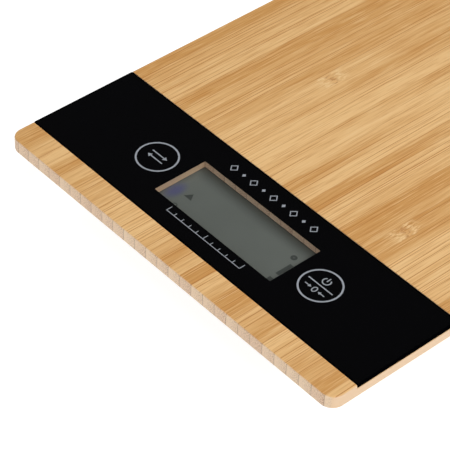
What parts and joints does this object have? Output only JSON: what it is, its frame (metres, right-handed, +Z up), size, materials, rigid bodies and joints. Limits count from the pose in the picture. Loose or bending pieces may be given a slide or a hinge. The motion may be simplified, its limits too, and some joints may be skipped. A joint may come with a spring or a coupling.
{
  "type": "kitchen scale",
  "caption": "Thin bamboo kitchen scale with a black touch panel, a recessed LCD and spring-steel load cells over round feet.",
  "frame": {"origin": "middle of the footprint, on the surface that the scale stands on", "axes": "+X to the user's right, +Y away from the user (the display is at -Y), +Z up"},
  "size_m": [0.16, 0.23, 0.017],
  "materials": {
    "bamboo": "satin lacquered bamboo, strips running front to back",
    "panel_clear": "glossy clear acrylic over a black print",
    "panel_print": "black screen print",
    "adhesive": "black double-sided adhesive film",
    "lcd_film": "grey-green polarizing film",
    "lcd_glass": "clear thin glass",
    "reflector": "matte silver film",
    "white_abs": "moulded off-white ABS",
    "black_abs": "moulded black ABS, fine texture",
    "zebra": "layered conductive silicone",
    "circuit_board": "green solder mask",
    "black_resin": "cured black resin",
    "capacitor": "tan ceramic",
    "resistor": "black ceramic",
    "steel": "plated steel",
    "spring_steel": "bare spring steel",
    "cell_steel": "nickel-plated can",
    "contact": "plated spring bronze",
    "red_wire": "red PVC insulation",
    "grey_wire": "pale grey PVC flat cable",
    "tape": "amber film tape",
    "gauge_film": "copper-coloured foil on film",
    "silicone": "white silicone",
    "foot_plastic": "moulded off-white ABS",
    "pad_rubber": "grey rubber"
  },
  "bodies": {
    "scale": {"platform_board": "bamboo", "display_panel": "panel_clear", "panel_mask": "panel_print", "panel_adhesive": "adhesive", "lcd_front_polarizer": "lcd_film", "lcd_front_glass": "lcd_glass", "lcd_rear_glass": "lcd_glass", "lcd_reflector": "reflector", "lcd_holder": "white_abs", "zebra_connector": "zebra", "circuit_board": "circuit_board", "controller_chip": "black_resin", "chip_capacitors": "capacitor", "chip_resistors": "resistor", "touch_springs": "spring_steel", "circuit_board_screws": "steel", "electronics_housing": "black_abs", "housing_screws": "steel", "coin_cell": "cell_steel", "battery_contact_positive": "contact", "battery_contact_negative": "contact", "battery_leads": "red_wire", "cable_tape": "tape", "sensor_screws": "steel", "load_cell_retainers": "white_abs", "strain_gauges": "gauge_film", "gauge_sealant": "silicone", "sensor_housing_front_left": "white_abs", "load_cell_front_left": "spring_steel", "sensor_cable_front_left": "grey_wire", "sensor_housing_front_right": "white_abs", "load_cell_front_right": "spring_steel", "sensor_cable_front_right": "grey_wire", "sensor_housing_rear_left": "white_abs", "load_cell_rear_left": "spring_steel", "sensor_cable_rear_left": "grey_wire", "sensor_housing_rear_right": "white_abs", "load_cell_rear_right": "spring_steel", "sensor_cable_rear_right": "grey_wire"},
    "battery_door": {"battery_door": "black_abs"},
    "foot_front_left": {"foot_front_left": "foot_plastic", "foot_pad_front_left": "pad_rubber"},
    "foot_front_right": {"foot_front_right": "foot_plastic", "foot_pad_front_right": "pad_rubber"},
    "foot_rear_left": {"foot_rear_left": "foot_plastic", "foot_pad_rear_left": "pad_rubber"},
    "foot_rear_right": {"foot_rear_right": "foot_plastic", "foot_pad_rear_right": "pad_rubber"}
  },
  "joints": [
    {"name": "battery_door_hinge", "type": "hinge", "parent": "scale", "child": "battery_door", "pos_m": [0, -0.0376, 0.0042], "axis": [1, 0, 0], "range_deg": [0, 95]},
    {"name": "foot_front_left_press", "type": "slide", "parent": "scale", "child": "foot_front_left", "axis": [0, 0, 1], "range_m": [0, 0.0006], "stiffness_N_per_m": 20000, "deforming": ["load_cell_front_left"]},
    {"name": "foot_front_right_press", "type": "slide", "parent": "scale", "child": "foot_front_right", "axis": [0, 0, 1], "range_m": [0, 0.0006], "stiffness_N_per_m": 20000, "deforming": ["load_cell_front_right"]},
    {"name": "foot_rear_left_press", "type": "slide", "parent": "scale", "child": "foot_rear_left", "axis": [0, 0, 1], "range_m": [0, 0.0006], "stiffness_N_per_m": 20000, "deforming": ["load_cell_rear_left"]},
    {"name": "foot_rear_right_press", "type": "slide", "parent": "scale", "child": "foot_rear_right", "axis": [0, 0, 1], "range_m": [0, 0.0006], "stiffness_N_per_m": 20000, "deforming": ["load_cell_rear_right"]}
  ]
}
